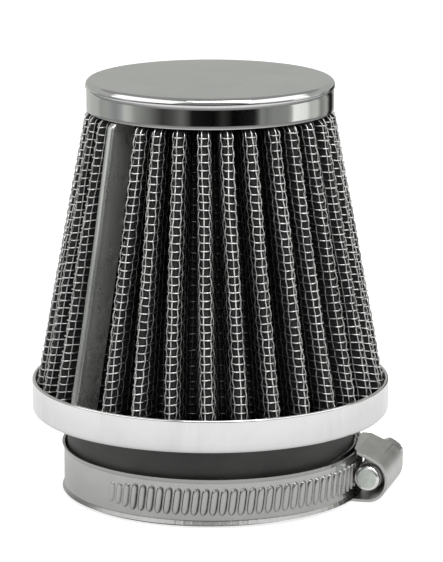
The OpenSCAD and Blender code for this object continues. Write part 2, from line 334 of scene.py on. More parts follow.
M["steel_mesh"] = metal("mesh_wire", (0.90, 0.90, 0.88), 0.26, 0.38, 0.08, 90, folds=(0.6, 4.2, 0.15))
M["inner_mesh"] = metal("inner_mesh_wire", (0.50, 0.50, 0.49), 0.3, 0.34, 0.08, 90)
# painted light and shade: a dark colour on the clip's outer bend, doubling to 1.4 mm inside so its flanks read lighter
M["seam_steel"] = metal("seam_clip_steel", (0.46, 0.47, 0.45), 0.16, 0.28, 0.05, 40, grain=(1, 1, 0.12), dent=0.00004, folds=(0.0, 1.4, 2.0))
M["seam_steel"].node_tree.nodes["Principled BSDF"].inputs["Metallic"].default_value = 0.89     # set to the flank's tone, not a known finish
# painted shade on the band comes in through its mesh attribute
M["clamp_steel"] = metal("clamp_band_steel", (0.56, 0.56, 0.55), 0.10, 0.26, 0.035, 80, grain=(1, 1, 9), dent=0.00003, painted_band_shade="painted_band_shade", fine_bump=0.000006)
M["housing_steel"] = metal("clamp_housing_steel", (0.66, 0.66, 0.64), 0.20, 0.36, 0.08, 150, dent=0.00006)
M["screw_steel"] = metal("screw_steel", (0.64, 0.65, 0.63), 0.24, 0.30, 0.08, 200)
M["screw_end"] = metal("screw_end_face", (0.78, 0.83, 0.78), 0.22, 0.42, 0.10, 420, dent=0.00004)
# painted highlight: a near-white copy of the screw steel for the chamfer round the tip's end face
M["screw_edge"] = metal("screw_chamfer_highlight_steel", (0.97, 0.97, 0.95), 0.08, 0.22, 0.06, 420)

# Dark filter cloth: fibres matted in layers.
m, nt, b = principled("filter_cloth")
v = coords(nt)
f1 = noise(nt, coords(nt, scale=(1, 1, 0.25)), 1500, 4.0, 0.7, 1.2)
f2 = noise(nt, coords(nt, scale=(0.3, 0.3, 1)), 1300, 4.0, 0.7, 1.2)
fib = math_node(nt, "MULTIPLY", f1, f2)
# painted shade: the cloth darkens to a quarter of its colour from 0.8 to 4.5 mm inside the pleats
nt.links.new(scaled(nt, ramp(nt, fib, [(0.12, (0.006, 0.006, 0.0065)), (0.42, (0.026, 0.026, 0.027))]), painted_fold_shading(nt, 0.8, 4.5, 0.25)), b.inputs["Base Color"])
b.inputs["Roughness"].default_value = 0.85
b.inputs["Specular IOR Level"].default_value = 0.25
nt.links.new(bump(nt, fib, 0.00018, 0.9), b.inputs["Normal"])
M["medium"] = m

# Poured potting compound.
m, nt, b = principled("potting")
v = coords(nt)
c1 = noise(nt, v, 160, 4.0, 0.6)
nt.links.new(ramp(nt, c1, [(0.35, (0.012, 0.012, 0.012)), (0.65, (0.030, 0.030, 0.030))]), b.inputs["Base Color"])
nt.links.new(maprange(nt, noise(nt, v, 700, 3.0, 0.6), 0.3, 0.7, 0.35, 0.6), b.inputs["Roughness"])
nt.links.new(bump(nt, noise(nt, v, 420, 3.0, 0.55), 0.0002, 0.6), b.inputs["Normal"])
M["potting"] = m

# Moulded rubber: mould texture, bloom on the surface, faint flow lines round the neck.
m, nt, b = principled("rubber")
v = coords(nt)
bloom = noise(nt, coords(nt, scale=(1, 1, 1.6)), 70, 5.0, 0.65, 0.6)
nt.links.new(ramp(nt, bloom, [(0.30, (0.019, 0.019, 0.019)), (0.68, (0.042, 0.042, 0.039))]), b.inputs["Base Color"])
tex = noise(nt, v, 2600, 3.0, 0.6)
lines = noise(nt, coords(nt, scale=(0.06, 0.06, 1)), 900, 2.0, 0.5)
nt.links.new(maprange(nt, bloom, 0.3, 0.7, 0.46, 0.60), b.inputs["Roughness"])
b.inputs["Specular IOR Level"].default_value = 0.45
nt.links.new(bump(nt, tex, 0.000035, 0.6, bump(nt, lines, 0.00005, 0.5)), b.inputs["Normal"])
M["rubber"] = m


# ------------------------------------------------------------------ pleat outline
# Crest azimuths at mid height and how far each crest leans from its top to its base, in degrees.
AZ = np.array([SEAM_AZ + 15.3 + i * PITCH_A for i in range(N_PLEATS)])
LEAN = np.zeros(N_PLEATS)
known = {0: (-34.9, -2.0), 1: (-24.7, 0.3), 2: (-13.6, 1.6), 3: (-1.7, 2.2), 4: (9.1, 2.6), 5: (20.2, 2.6),
         6: (31.9, 1.8), 7: (42.4, 2.2), 8: (53.6, 1.2), 9: (65.3, 0.8), 10: (76.3, 0.5)}
jit = rng.uniform(-0.55, 0.55, N_PLEATS)
lean = rng.uniform(-1.1, 1.1, N_PLEATS)
for i in range(N_PLEATS):
    if i in known:
        AZ[i], LEAN[i] = known[i]
    else:
        AZ[i] += jit[i]
        LEAN[i] = lean[i]
AZ_ALL = np.append(AZ, SEAM_AZ + 360)      # the seam comes after the last pleat
LEAN_ALL = np.append(LEAN, 0.0)
N_ALL = N_PLEATS + 1
MSUB = 72


def corner_cut(P, times=2):
    """Rounds a polyline's corners (Chaikin), its two ends kept."""
    for _ in range(times):
        q = [P[0]]
        for a, c in zip(P[:-1], P[1:]):
            q += [0.75 * a + 0.25 * c, 0.25 * a + 0.75 * c]
        q.append(P[-1])
        P = np.array(q)
    return P


def outline(z, d):
    """The folded sheet at height z, d mm inside its outer face: (N_ALL, MSUB, 2) points, fold by fold, evenly spaced along each fold from valley to valley."""
    rc = float(crest_r(z))
    rv = rc - PLEAT_DEPTH
    t = (z - PACK_Z0) / (CAP_Z - PACK_Z0)
    az = AZ_ALL + LEAN_ALL * (0.5 - t)
    prev = np.roll(az, 1)
    prev[0] -= 360
    nxt = np.roll(az, -1)
    nxt[-1] += 360
    foot = rv * math.tan(math.radians(PITCH_A / 2)) - 0.35
    out = np.zeros((N_ALL, MSUB, 2))
    for i in range(N_ALL):
        eo, et = e_out(az[i]), e_tan(az[i])
        if i < N_PLEATS:
            k = CREST_HW - d
            loc = [(-(foot - d), rv - d), (-(foot - d) * 0.9, rv - d + 0.9), (-k, rc - d - 0.75), (-0.55 * k, rc - d), (0.55 * k, rc - d), (k, rc - d - 0.75), ((foot - d) * 0.9, rv - d + 0.9), (foot - d, rv - d)]
        else:
            w = 0.62 * (1 - d / 1.65)
            loc = [(-(1.75 - d), rv - d), (-w, rv + 0.7 - 0.3 * d), (-w, rc - 0.5), (w, rc - 0.5), (w, rv + 0.7 - 0.3 * d), (1.75 - d, rv - d)]
        pts = [x * et + y * eo for x, y in loc]
        a0, a1 = (prev[i] + az[i]) / 2, (az[i] + nxt[i]) / 2
        pts = [e_out(a0) * (rv - d)] + pts + [e_out(a1) * (rv - d)]
        P = corner_cut(np.array(pts), 3)
        L = np.concatenate([[0], np.cumsum(np.linalg.norm(np.diff(P, axis=0), axis=1))])
        s = np.linspace(0, L[-1], MSUB, endpoint=False)
        out[i, :, 0] = np.interp(s, L, P[:, 0])
        out[i, :, 1] = np.interp(s, L, P[:, 1])
    return out.reshape(-1, 2)


def fold_lengths(z, d):
    P = outline(z, d)
    L = np.linalg.norm(np.diff(np.vstack([P, P[:1]]), axis=0), axis=1)
    return L.reshape(N_ALL, MSUB).sum(1)


ZGRID = np.array([25.0, 26.8, 27.3, 36, 47, 58, 69, 80, KNEE_Z - 0.8, KNEE_Z - 0.15, KNEE_Z + 0.25, CAP_Z])


class Sheet:
    """Position and outward normal on the folded sheet, by wire coordinate u (in folds) and height z."""

    def __init__(self, d):
        self.P = np.stack([outline(z, d) for z in ZGRID])          # (nz, N_ALL*MSUB, 2)
        T = np.roll(self.P, -1, 1) - np.roll(self.P, 1, 1)
        T /= np.linalg.norm(T, axis=2, keepdims=True) + 1e-12
        # smooth the tangent a little so wires turn softly round the folds
        T = T + np.roll(T, 1, 1) + np.roll(T, -1, 1)
        T /= np.linalg.norm(T, axis=2, keepdims=True) + 1e-12
        self.T = T

    def __call__(self, u, z):
        n = self.P.shape[1]
        x = np.mod(u * MSUB, n)
        i0 = np.floor(x).astype(int) % n
        fx = (x - np.floor(x))[..., None]
        i1 = (i0 + 1) % n
        k = np.clip(np.searchsorted(ZGRID, z, side="right") - 1, 0, len(ZGRID) - 2)
        fz = ((z - ZGRID[k]) / (ZGRID[k + 1] - ZGRID[k]))[..., None]
        fz = np.clip(fz, 0, 1)

        def bil(A):
            lo = A[k, i0] * (1 - fx) + A[k, i1] * fx
            hi = A[k + 1, i0] * (1 - fx) + A[k + 1, i1] * fx
            return lo * (1 - fz) + hi * fz

        p, t = bil(self.P), bil(self.T)
        t /= np.linalg.norm(t, axis=-1, keepdims=True) + 1e-12
        nrm = np.stack([t[..., 1], -t[..., 0]], -1)
        return p, nrm, t


def tubes(paths, axis_a, axis_b, r, sides, closed):
    """Vertices and faces of tubes. paths, axis_a and axis_b are (wires, points, 3)."""
    w, n, _ = paths.shape
    th = (np.arange(sides) + 0.5) / sides * 2 * math.pi
    V = paths[:, :, None, :] + r * (np.cos(th)[None, None, :, None] * axis_a[:, :, None, :] + np.sin(th)[None, None, :, None] * axis_b[:, :, None, :])
    one = grid_faces(n, sides, wrap_u=closed, wrap_v=True)
    Q = (one[None] + (np.arange(w) * n * sides)[:, None, None]).reshape(-1, 4)
    caps = []
    if not closed:
        if sides == 4:
            for k in range(w):
                b0 = k * n * sides
                b1 = b0 + (n - 1) * sides
                caps.append([b0, b0 + 1, b0 + 2, b0 + 3])
                caps.append([b1 + 3, b1 + 2, b1 + 1, b1])
            Q = np.vstack([Q, np.array(caps)])
            return V.reshape(-1, 3), Q, None
        T = []
        for k in range(w):
            b0 = k * n * sides
            b1 = b0 + (n - 1) * sides
            for s in range(1, sides - 1):
                T.append([b0, b0 + s, b0 + s + 1])
                T.append([b1, b1 + s + 1, b1 + s])
        return V.reshape(-1, 3), Q, np.array(T)
    return V.reshape(-1, 3), Q, None


def woven(prefix, d_mid, pitch, wire_r, amp, samples, sides, mat, node_name, parts, z0, z1):
    """Plain-weave wire cloth folded into the pleats: upright wires and wires that run round, each waved over and under the other."""
    sheet = Sheet(d_mid)
    lens = fold_lengths(58.0, d_mid)
    cum = np.concatenate([[0], np.cumsum(lens)])
    n_up = int(round(cum[-1] / pitch))
    n_up += n_up % 2
    rows = int(round((z1 - z0) / (pitch * SLANT)))
    zs = z0 + (z1 - z0) * np.arange(rows + 1) / rows

    def u_of(j):
        s = np.mod(j / n_up, 1.0) * cum[-1]
        i = np.clip(np.searchsorted(cum, s, side="right") - 1, 0, N_ALL - 1)
        return i + (s - cum[i]) / lens[i]

    def slide(j, z):
        # slow drift of the upright wires
        return 0.010 * np.sin(j * 0.9 + z * 0.11) + 0.007 * np.sin(j * 2.3 - z * 0.23)

    def sag(u, i):
        # the round-going wires don't stay level from fold to fold
        return 0.16 * np.sin(u * 2.1 + 0.3 * np.sin(i * 0.7)) + 0.12 * np.sin(u * 6.9 + i * 0.35) + 0.08 * np.sin(u * 13.1 - i * 0.21)

    # upright wires
    steps = rows * samples + 1
    ph = np.arange(steps) / samples
    zz = np.interp(ph, np.arange(rows + 1), zs)
    j = np.arange(n_up)
    J, Z = np.meshgrid(j, zz, indexing="ij")
    PH = np.broadcast_to(ph, J.shape)
    U = u_of(J.astype(float)) + slide(J, Z)
    Zw = np.clip(Z + sag(U, PH) * (PH > 1.5) * (PH < rows - 1.5), z0, z1)
    p, nrm, tan = sheet(U, Zw)
    off = amp * np.cos(math.pi * (PH + J))[..., None]
    P3 = np.concatenate([p + nrm * off, Zw[..., None]], -1)
    A3 = np.concatenate([nrm, np.zeros_like(Z)[..., None]], -1)
    B3 = np.concatenate([tan, np.zeros_like(Z)[..., None]], -1)
    obs = []
    cuts = np.linspace(0, n_up, parts + 1).astype(int)
    for k in range(parts):
        s = slice(cuts[k], cuts[k + 1])
        V, Q, T = tubes(P3[s], A3[s], B3[s], wire_r, sides, False)
        obs.append(make_mesh(f"{prefix}_upright_wires_{k + 1}", V, Q, T, mat))
    # round-going wires
    steps = n_up * samples
    ph = np.arange(steps) / samples
    i = np.arange(1, rows)
    I, PJ = np.meshgrid(i, ph, indexing="ij")
    U = u_of(PJ)
    Z = zs[I] + sag(U, I) * (I > 1) * (I < rows - 1)
    Z = np.clip(Z, z0, z1)
    # follow the drift of the upright wires
    U = U + slide(PJ, Z)
    p, nrm, tan = sheet(U, Z)
    off = -amp * np.cos(math.pi * (I + PJ))[..., None]
    P3 = np.concatenate([p + nrm * off, Z[..., None]], -1)
    A3 = np.concatenate([nrm, np.zeros_like(Z)[..., None]], -1)
    B3 = np.zeros_like(A3)
    B3[..., 2] = -1
    cuts = np.linspace(0, len(i), parts + 1).astype(int)
    for k in range(parts):
        s = slice(cuts[k], cuts[k + 1])
        V, Q, T = tubes(P3[s], A3[s], B3[s], wire_r, sides, True)
        obs.append(make_mesh(f"{prefix}_round_wires_{k + 1}", V, Q, T, mat))
    for o in obs:
        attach(o, "filter")
    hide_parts(node_name)
    return obs


# ------------------------------------------------------------------ pleated pack
woven("outer_mesh", 0.31, 1.83, 0.155, 0.155, 3, 4, M["steel_mesh"], "outer_mesh", 2, 25.05, 92.1)
woven("inner_mesh", 1.42, 2.30, 0.13, 0.13, 2, 3, M["inner_mesh"], "inner_mesh", 1, 25.05, 92.1)


def media():
    zs = np.concatenate([np.linspace(25.02, KNEE_Z - 0.6, 40), [KNEE_Z, KNEE_Z + 0.6, 92.15]])
    us = np.arange(N_ALL * 30) / 30.0
    U, Z = np.meshgrid(us, zs, indexing="ij")
    nu, nv = U.shape
    outer, inner = Sheet(0.70), Sheet(1.12)
    ripple = 0.05 * np.sin(Z * 3.43 + U * 9.0) * np.sin(U * 21.0)
    po, no, _ = outer(U, Z)
    pi_, ni, _ = inner(U, Z)
    Vo = np.concatenate([po + no * (ripple - 0.0)[..., None], Z[..., None]], -1).reshape(-1, 3)
    Vi = np.concatenate([pi_ + ni * ripple[..., None], Z[..., None]], -1).reshape(-1, 3)
    n = nu * nv
    Q = [grid_faces(nu, nv, wrap_u=True), grid_faces(nu, nv, wrap_u=True, flip=True, base=n)]
    k = np.arange(nu)
    k2 = (k + 1) % nu
    Q.append(np.stack([k * nv, n + k * nv, n + k2 * nv, k2 * nv], -1))
    t = nv - 1
    Q.append(np.stack([k2 * nv + t, n + k2 * nv + t, n + k * nv + t, k * nv + t], -1))
    o = make_mesh("pleated_filter_cloth", np.vstack([Vo, Vi]), np.vstack(Q), mat=M["medium"])
    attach(o, "filter")
    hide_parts("filter_media")


media()


# ------------------------------------------------------------------ seam clip
def seam_clip():
    w, depth, t, r_edge = 1.05, 7.0, 0.4, 0.85
    # outer line of the U from one inner edge round the bend to the other, x across and y outwards (0 at the outer edge)
    side = [(-w, -depth + 0.12), (-w, -r_edge)]
    line = dense(side, 0.35) + arc(-w + r_edge, -r_edge, r_edge, 180, 90, 9)[1:] + arc(w - r_edge, -r_edge, r_edge, 90, 0, 9) + dense([(w, -r_edge), (w, -depth + 0.12)], 0.35)[1:]
    line = np.array(line)
    d = np.gradient(line, axis=0)
    d /= np.linalg.norm(d, axis=1, keepdims=True)
    nrm = np.stack([-d[:, 1], d[:, 0]], 1)
    zs = np.arange(25.05, 92.13, 0.42)
    nv = len(line)
    V = np.zeros((2, len(zs), nv, 3))
    for iz, z in enumerate(zs):
        a = SEAM_AZ + float(np.interp(z, [25, 40, 66, 92], [0.9, 1.2, 1.2, 0.1]))
        eo, et = e_out(a), e_tan(a)
        R = cone_r(z) + 0.3 - max(0.0, z - KNEE_Z) * 1.0
        edge = min(R, CREST_BASE + 0.08)
        s = (z - 60) / SLANT
        off = np.zeros(nv)
        for k in range(-4, 5):
            dist = np.hypot(s - k * 9.4, line[:, 1] + depth - 1.25)
            off -= 0.34 * np.exp(-(dist / 0.62) ** 2) * (np.abs(line[:, 0]) > 0.8 * w)
        # the clip was closed by hand-sized presses: slow waves along its flanks
        wave = 0.05 * np.sin(s * 0.33) * (-line[:, 1] / depth) + 0.03 * np.sin(s * 0.81 + 1.0) * (-line[:, 1] / depth)
        off += wave * np.sign(line[:, 0])
        for side_k, base in enumerate((0.0, -t)):
            q = line + nrm * (off + base)[:, None]
            rad = np.minimum(R + q[:, 1:2], edge - (0.0 if side_k == 0 else t))
            V[side_k, iz, :, :2] = q[:, :1] * et + rad * eo
            V[side_k, iz, :, 2] = z
    n = len(zs) * nv
    nz = len(zs)
    Q = [grid_faces(nz, nv, flip=True), grid_faces(nz, nv, base=n)]
    k = np.arange(nz - 1)
    Q.append(np.stack([k * nv, (k + 1) * nv, n + (k + 1) * nv, n + k * nv], -1))
    e = nv - 1
    Q.append(np.stack([k * nv + e, n + k * nv + e, n + (k + 1) * nv + e, (k + 1) * nv + e], -1))
    c = np.arange(nv - 1)
    Q.append(np.stack([c, n + c, n + c + 1, c + 1], -1))
    b0 = (nz - 1) * nv
    Q.append(np.stack([b0 + c, b0 + c + 1, n + b0 + c + 1, n + b0 + c], -1))
    o = make_mesh("seam_clip_channel", V.reshape(-1, 3), np.vstack(Q), mat=M["seam_steel"], sharp=50)
    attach(o, "filter")
    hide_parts("seam_clip")


seam_clip()

# ------------------------------------------------------------------ caps, ring, potting, neck
# closed outlines run counter-clockwise with r to the right and z up, so that faces point outwards
cap = []
cap += [(0, 98.5)] + dense([(9, 98.5), (26.9, 98.5)], 6) + arc(26.9, 97.1, 1.4, 90, 0, 7)[1:]
cap += dense([(28.3, 97.1), (28.3, 92.42)], 1.2)[1:] + arc(28.52, 92.42, 0.22, 180, 270, 4)[1:]
cap += arc(29.04, 92.26, 0.06, 270, 360, 3)
cap += dense([(29.1, 92.26), (29.1, 97.42)], 1.2)[1:] + [(29.12, 97.46), (29.3, 97.5), (29.35, 97.56)]
cap += arc(28.05, 98.0, 1.3, 0, 90, 14)
cap += dense([(28.05, 99.3), (9, 99.3)], 6)[1:] + [(0, 99.3)]
o = lathe("end_cap_pressing", cap, 256, M["chrome"], sharp=50)
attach(o, "filter"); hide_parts("top_cap")

pot = [(0, 98.48), (0, 92.35)] + [(r, 92.35 - 0.10 * math.exp(-((r - 27.9) / 0.5) ** 2)) for r in (6, 12, 18, 22, 25, 26.5, 27.4, 27.9)] + [(28.28, 92.25), (28.28, 97.0), (27.9, 97.9), (26.9, 98.48), (12, 98.48)]
o = lathe("end_cap_potting", pot, 160, M["potting"], sharp=40)
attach(o, "filter"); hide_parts("cap_potting")

ring = arc(41.5, 20.7, 1.1, 270, 360, 10)
ring += dense([(42.6, 20.7), (42.6, 26.6)], 1.0)[1:] + [(42.62, 26.78)] + arc(42.14, 27.10, 0.46, -12, 180, 14)
ring = [(min(r, 42.6), z) for r, z in ring]
ring += [(41.8, 26.75)] + dense([(41.8, 26.6), (41.8, 20.9)], 1.4)[1:] + arc(41.3, 20.9, 0.5, 0, -90, 5)[1:]
ring += dense([(41.3, 20.4), (34.8, 20.4)], 2.0)[1:] + [(34.6, 20.25), (34.6, 19.75), (34.8, 19.6)] + dense([(34.8, 19.6), (41.5, 19.6)], 2.0)[1:-1]
o = lathe("base_ring_pressing", ring, 256, M["chrome"], sharp=50)
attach(o, "filter"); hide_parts("base_ring")


def pot_wobble(V):
    a = np.arctan2(V[..., 1], V[..., 0])
    r = np.hypot(V[..., 0], V[..., 1])
    top = V[..., 2] > 24.0
    V[..., 2] += top * (0.10 * np.sin(a * 31 + 0.5) * np.sin((r - 31) * 0.9) + 0.06 * np.sin(a * 47 + r))
    return V


pot = dense([(30.8, 22.9), (41.78, 22.9)], 3) + [(41.78, 25.25), (41.3, 24.95)] + dense([(40.6, 24.85), (31.6, 24.85)], 1.0)[0:] + [(31.0, 25.0), (30.8, 24.8)]
o = lathe("base_potting_pour", pot, 310, M["potting"], sharp=60, wobble=pot_wobble)
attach(o, "filter"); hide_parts("base_potting")

neck = arc(30.5, 0.5, 0.5, 180, 270, 5) + arc(34.15, 0.15, 0.15, 270, 360, 4)
neck += dense([(34.3, 0.15), (34.3, 19.3)], 0.9)[1:] + [(34.36, 19.5), (34.5, 19.62), (34.58, 20.38)]
neck += dense([(34.6, 20.42), (41.3, 20.42)], 2)[1:] + [(41.76, 20.85)] + dense([(41.76, 20.9), (41.76, 22.88)], 1)[1:]
neck += dense([(41.76, 22.88), (30.7, 22.88)], 2)[1:] + [(30.2, 22.8), (30.0, 22.4)] + dense([(30.0, 22.4), (30.0, 0.5)], 1.2)[1:-1]
o = lathe("rubber_neck_moulding", neck, 224, M["rubber"], sharp=55)
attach(o, "filter"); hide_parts("rubber_neck")


# ------------------------------------------------------------------ clamp band
def band_inner_r(az):
    """Inner radius of the strip along its run from the tongue under the screw (66) right round to its tail (472)."""
    az = np.asarray(az, float)
    loop = 35.05 + 0.55 * np.cos(np.radians(az - 85))
    return np.where(az < 265, 34.5, loop)


RIB_A, RIB_LEN, RIB_H = 3.4848, 6.2, 0.45
RIB_LEAN = math.tan(math.atan(2.22 / (math.pi * 5.4)))


def rib_height(az, z):
    """How far the ribs stand out of the strip at each azimuth and height."""
    h = np.zeros(np.broadcast(az, z).shape)
    for k in range(-33, 10):
        c = CLAMP_AZ + k * RIB_A + 360
        f = {-33: 0.45, -32: 0.65, -31: 0.85}.get(k, 1.0)
        L = RIB_LEN * (0.55 + 0.45 * f) / 2
        v = z - 6.25
        u = (az - c) * math.pi / 180 * 35.9 - v * RIB_LEAN
        # a long oval with steep flanks and a slightly crowned face
        q = np.clip(np.abs(v) / L, 0, 1)
        half = 0.74 * np.sqrt(1 - q**5)
        across = (1 - 0.22 * np.clip(u / 0.74, -1, 1) ** 2) / (1 + np.exp(np.clip((np.abs(u) - half) / 0.065, -40, 40)))
        h = np.maximum(h, RIB_H * f * across)
    return h


def rib_foot_shade(az, z):
    """Painted shade along the feet of the ribs, heaviest on the side that faces the screw."""
    g = np.zeros(np.broadcast(az, z).shape)
    for k in range(-33, 10):
        c = CLAMP_AZ + k * RIB_A + 360
        f = {-33: 0.35, -32: 0.5, -31: 0.7}.get(k, 1.0)
        L = RIB_LEN * (0.55 + 0.45 * f) / 2
        v = z - 6.25
        u = (az - c) * math.pi / 180 * 35.9 - v * RIB_LEAN
        half = 0.74 * np.sqrt(1 - np.clip(np.abs(v) / L, 0, 1) ** 5)
        foot = np.abs(u) - half
        side = np.where(u > 0, 1.0, 0.40)
        ends = 1 / (1 + np.exp(np.clip((np.abs(v) - L - 0.12) / 0.08, -40, 40)))
        g = np.maximum(g, f * side * np.exp(-((foot - 0.04) / np.where(u > 0, 0.24, 0.16)) ** 2) * ends)
    return g


def strip(name, az0, az1, step, body, ribs, tongue=False, tail=False, blend=False):
    n = max(2, int(round((az1 - az0) / step)) + 1)
    az = np.linspace(az0, az1, n)
    if ribs:
        # columns close together on the flanks of each rib, wide apart elsewhere
        offs = np.array([-1.02, -0.92, -0.84, -0.78, -0.72, -0.66, -0.58, -0.42, -0.15, 0.15, 0.42, 0.58, 0.66, 0.72, 0.78, 0.84, 0.92]) / 35.9 * 180 / math.pi
        rib = np.concatenate([CLAMP_AZ + 360 + k * RIB_A + offs for k in range(-33, 10)])
        az = np.concatenate([np.arange(az0, rib[0] - 0.4, 0.7), rib, np.linspace(rib[-1] + 0.3, az1, 10)])
        n = len(az)
    # across the strip: its inner face from the bottom edge to the top edge, then its outer face back down
    zi = np.concatenate([[0.80, 0.95, 1.2, 1.45, 1.62, 1.74, 1.86, 2.05, 2.4], np.linspace(3.0, 9.5, 8), [10.1, 10.45, 10.64, 10.76, 10.88, 11.05, 11.3, 11.55, 11.70]])
    nz = 64 if ribs else 22
    zo = np.concatenate([[11.70, 11.55, 11.3, 11.05, 10.88, 10.76, 10.64, 10.45], np.linspace(10.1, 2.4, nz), [2.05, 1.86, 1.74, 1.62, 1.45, 1.2, 0.95, 0.80]])

    def flare(z):
        e = np.minimum(z - BAND_Z0, BAND_Z1 - z)
        x = np.clip((FLARE_H + 0.12 - e) / 0.24, 0, None)
        # a fold with a small radius 1 mm from each edge
        lin = np.clip(FLARE_H - e, 0, None) * FLARE / FLARE_H
        soft = np.where((e > FLARE_H - 0.12) & (e < FLARE_H + 0.12), 0.24 * FLARE * 0.5 * x**2, lin)
        return np.where(e >= FLARE_H + 0.12, 0, soft)

    # the tongue under the screw is flat and a little wider than the flared band
    if tongue:
        fl = np.clip((az - 88.5) / 3.5, 0, 1)
        fl = (fl * fl * (3 - 2 * fl))[:, None]
    else:
        fl = np.ones((n, 1))
    ro = band_inner_r(az)[:, None]
    sect_i = np.stack([np.broadcast_to(ro + fl * flare(zi)[None], (n, len(zi))), np.broadcast_to(zi[None], (n, len(zi)))], -1)
    rise = rib_height(az[:, None] + np.degrees(RIB_LEAN * (zo[None] - 6.25) / 35.9), zo[None]) if ribs else np.zeros((n, len(zo)))
    sect_o = np.stack([ro + fl * flare(zo)[None] + BAND_T + rise, np.broadcast_to(zo[None], (n, len(zo)))], -1)
    # small rounding of the sheared edges
    top = np.stack([ro + fl * FLARE + BAND_T * f for f in (0.2, 0.5, 0.8)], 2)
    zt = np.broadcast_to(np.array([[[11.74, 11.75, 11.74]]]), (n, 1, 3))
    bot = top[:, :, ::-1]
    zb = np.broadcast_to(np.array([[[0.76, 0.75, 0.76]]]), (n, 1, 3))
    edge_t = np.stack([top[:, 0], zt[:, 0]], -1)
    edge_b = np.stack([bot[:, 0], zb[:, 0]], -1)
    S = np.concatenate([sect_i, edge_t, sect_o, edge_b], 1)       # (n, k, 2) of r, z
    k = S.shape[1]
    A = np.broadcast_to(az[:, None], (n, k)).copy()
    if ribs:
        lean = np.clip((az - 302) / 12, 0, 1) * np.clip((az1 - az) / 4, 0, 1)
        A = A + np.degrees(RIB_LEAN * (S[..., 1] - 6.25) / 35.9) * lean[:, None]
    if tongue:
        rise_in = np.clip((az - az0) / 12.0, 0, 1)[:, None]
        half = 5.5 + (1 - fl) * (0.25 - 0.9 * (1 - rise_in) ** 2)
        mid = 6.25 + (1 - fl) * 0.125 * rise_in
        S[..., 1] = mid + (S[..., 1] - 6.25) * half / 5.5
    if tail:
        # the free end is clipped to a rounded tongue
        e = np.abs(S[..., 1] - 6.25) / 5.5
        pull = 3.2 * np.clip(e - 0.25, 0, 1) ** 2
        w = np.clip((A - (az1 - 9)) / 9, 0, 1)
        A = A - pull * w / 0.62
    if tongue:
        e = np.abs(S[..., 1] - 6.25) / 5.5
        w = np.clip(((az0 + 6) - A) / 6, 0, 1)
        A = A + 3.0 * np.clip(e - 0.35, 0, 1) ** 2 * w / 0.6
    xy = e_out(A) * S[..., :1]
    V = np.concatenate([xy, S[..., 1:]], -1).reshape(-1, 3)
    Q = grid_faces(n, k, wrap_v=True)
    # end faces, as strips between the inner and the outer face
    c0 = np.concatenate([S[0], A[0][:, None]], 1)
    mi, mo = len(zi), len(zo)
    T = []
    for end, flip in ((0, False), (n - 1, True)):
        loop = end * k + np.arange(k)
        a = list(loop[:mi + 2])
        bq = list(loop[mi + 2:][::-1])
        # zip the two chains by height
        ia = ib = 0
        while ia < len(a) - 1 or ib < len(bq) - 1:
            za = V[a[min(ia + 1, len(a) - 1)], 2]
            zb_ = V[bq[min(ib + 1, len(bq) - 1)], 2]
            if ib >= len(bq) - 1 or (ia < len(a) - 1 and za <= zb_):
                t = [a[ia], a[ia + 1], bq[ib]]
                ia += 1
            else:
                t = [a[ia], bq[ib + 1], bq[ib]]
                ib += 1
            T.append(t if flip else t[::-1])
    o = make_mesh(name, V, Q, T, M["clamp_steel"], sharp=35)
    band_shade_attr = o.data.attributes.new("painted_band_shade", "FLOAT", "POINT")
    G = np.zeros((n, k))
    # painted shade: a little along the two folds and at the sheared edges, over the lower flare, more at the feet of
    # the ribs
    e = np.minimum(S[..., 1] - BAND_Z0, BAND_Z1 - S[..., 1])
    G = np.maximum(G, 0.30 * np.exp(-((e - FLARE_H) / 0.13) ** 2))
    G = np.maximum(G, 0.35 * np.exp(-(e / 0.10) ** 2))
    G = np.maximum(G, 0.30 * (S[..., 1] < 6) / (1 + np.exp(np.clip((e - FLARE_H) / 0.05, -40, 40))))
    if tongue:
        # painted shadow where the end lies under the screw
        G = np.maximum(G, 0.72 * (np.clip((A - 56) / 10, 0, 1) * np.clip((122 - A) / 14, 0, 1)))
    if ribs:
        i0 = len(zi) + 3
        G[:, i0:i0 + len(zo)] = np.maximum(G[:, i0:i0 + len(zo)], rib_foot_shade(az[:, None] + np.degrees(RIB_LEAN * (zo[None] - 6.25) / 35.9), zo[None]))
    band_shade_attr.data.foreach_set("value", G.ravel().astype(np.float32))
    if blend:
        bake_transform(o)
    else:
        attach(o, body)
    return o


a_ob = strip("clamp_band_fixed_end", 52.0, 180.0, 1.0, "clamp", False, tongue=True)
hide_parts("clamp_band_anchor")
b_ob = strip("clamp_band_back", 180.0, 300.0, 1.0, None, False, blend=True)
c_ob = strip("clamp_band_ribbed", 300.0, 472.0, 0.25, "band", True, tail=True)
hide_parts("clamp_band_strip")


# ------------------------------------------------------------------ worm screw
def clamp_frame():
    X = np.append(e_out(CLAMP_AZ), 0.0)
    Y = -np.append(e_tan(CLAMP_AZ), 0.0)
    return X, Y


def to_world(local):
    """Local clamp coordinates (outwards, towards the head, up from the floor) to the row frame."""
    local = np.asarray(local, float)
    X = np.append(e_out(CLAMP_AZ), 0.0)
    Y = np.append(e_tan(CLAMP_AZ), 0.0)
    Z = np.array([0.0, 0.0, 1.0])
    return local[..., :1] * X + local[..., 1:2] * Y + local[..., 2:3] * Z


